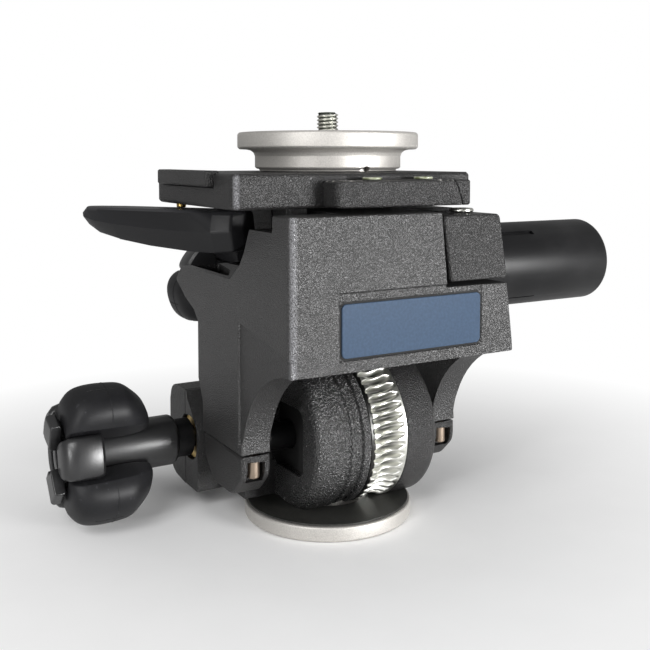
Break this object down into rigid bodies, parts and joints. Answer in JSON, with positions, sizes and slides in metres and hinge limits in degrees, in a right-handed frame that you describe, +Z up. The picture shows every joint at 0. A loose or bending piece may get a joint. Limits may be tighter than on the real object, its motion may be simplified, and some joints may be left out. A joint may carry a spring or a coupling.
{
  "type": "geared tripod head",
  "caption": "Geared camera support head: knobs turn worms that pan a drum on a round base and tilt a housing round it, under a quick release plate.",
  "frame": {"origin": "on the pan axis, at the bottom face of the base disc", "axes": "+Z up along the pan axis, +X along the tilt axis towards the spring tube, the nameplate faces -Y"},
  "size_m": [0.247, 0.1741, 0.1795],
  "materials": {
    "cast_black": "stippled satin black paint on cast aluminium",
    "grey_metal": "fine matt turned, clear anodised",
    "zinc": "bright zinc plate, slightly green",
    "steel": "machined",
    "brass": "machined",
    "black_plastic": "fine grained black",
    "rubber": "soft matt dark grey",
    "plate_blue": "satin blue-grey",
    "washer": "black",
    "vial": "clear"
  },
  "bodies": {
    "base": {"base_disc": "grey_metal", "friction_washer": "washer", "pan_post": "steel", "pan_wheel": "brass"},
    "pan_body": {"drum_casting": "cast_black", "drum_end_shell": "cast_black", "tilt_ring_gear": "zinc", "trunnion_left": "steel", "trunnion_right": "steel", "gearbox_cover": "cast_black", "gearbox_screw_1": "steel", "gearbox_screw_2": "steel", "gearbox_screw_3": "steel", "gearbox_screw_4": "steel", "pan_shaft_bush": "brass"},
    "pan_drive": {"pan_knob_sleeve": "black_plastic", "pan_knob_core": "black_plastic", "pan_knob_screw": "steel", "pan_knob_lobe_1": "rubber", "pan_knob_lobe_2": "rubber", "pan_knob_lobe_3": "rubber", "pan_knob_shaft": "steel"},
    "pan_worm": {"pan_worm": "steel"},
    "tilt_body": {"tilt_housing": "cast_black", "ear_cap_left": "cast_black", "ear_cap_right": "cast_black", "ear_screw_left_front": "brass", "ear_screw_right_front": "brass", "nameplate": "plate_blue", "corner_cover": "cast_black", "corner_cover_screw": "zinc", "spring_tube": "black_plastic", "tilt_gear_cover": "cast_black", "platform": "cast_black", "side_rail": "cast_black", "front_jaw": "cast_black", "jaw_end": "cast_black", "level_vial_1": "vial", "level_vial_2": "vial", "camera_plate": "grey_metal", "camera_stud": "zinc"},
    "tilt_worm": {"tilt_worm": "steel"},
    "tilt_drive": {"tilt_knob_sleeve": "black_plastic", "tilt_knob_core": "black_plastic", "tilt_knob_screw": "steel", "tilt_knob_lobe_1": "rubber", "tilt_knob_lobe_2": "rubber", "tilt_knob_lobe_3": "rubber", "tilt_knob_shaft": "steel"},
    "lever": {"release_lever": "black_plastic", "lever_screw": "steel"},
    "catch": {"safety_catch": "brass"}
  },
  "joints": [
    {"name": "pan_turn", "type": "hinge", "parent": "base", "child": "pan_body", "pos_m": [0, 0, 0.03], "axis": [0, 0, 1], "continuous": true},
    {"name": "pan_worm_turn", "type": "hinge", "parent": "pan_body", "child": "pan_worm", "pos_m": [0, 0.0224, 0.03], "axis": [1, 0, 0], "continuous": true},
    {"name": "pan_knob_turn", "type": "hinge", "parent": "pan_body", "child": "pan_drive", "pos_m": [-0.08, 0.038, 0.0313], "axis": [1, 0, 0], "continuous": true},
    {"name": "tilt_turn", "type": "hinge", "parent": "pan_body", "child": "tilt_body", "pos_m": [0, 0.003, 0.0365], "axis": [1, 0, 0], "range_deg": [-20, 90]},
    {"name": "tilt_worm_turn", "type": "hinge", "parent": "tilt_body", "child": "tilt_worm", "pos_m": [0.01355, 0, 0.0761], "axis": [0, 1, 0], "range_deg": [-961, 4321]},
    {"name": "tilt_knob_turn", "type": "hinge", "parent": "tilt_body", "child": "tilt_drive", "pos_m": [-0.009, 0.08, 0.094], "axis": [0, 1, 0], "range_deg": [-2161, 481]},
    {"name": "lever_turn", "type": "hinge", "parent": "tilt_body", "child": "lever", "pos_m": [-0.047, 0.005, 0.128], "axis": [0, 0, 1], "range_deg": [0, 50]},
    {"name": "catch_slide", "type": "slide", "parent": "tilt_body", "child": "catch", "axis": [0, 0, 1], "range_m": [0, 0.0015], "stiffness_N_per_m": 200}
  ],
  "couplings": [
    {"joint": "pan_worm_turn", "follows": "pan_turn", "ratio": 28},
    {"joint": "pan_knob_turn", "follows": "pan_turn", "ratio": -28},
    {"joint": "tilt_worm_turn", "follows": "tilt_turn", "ratio": 48},
    {"joint": "tilt_knob_turn", "follows": "tilt_turn", "ratio": -24}
  ]
}
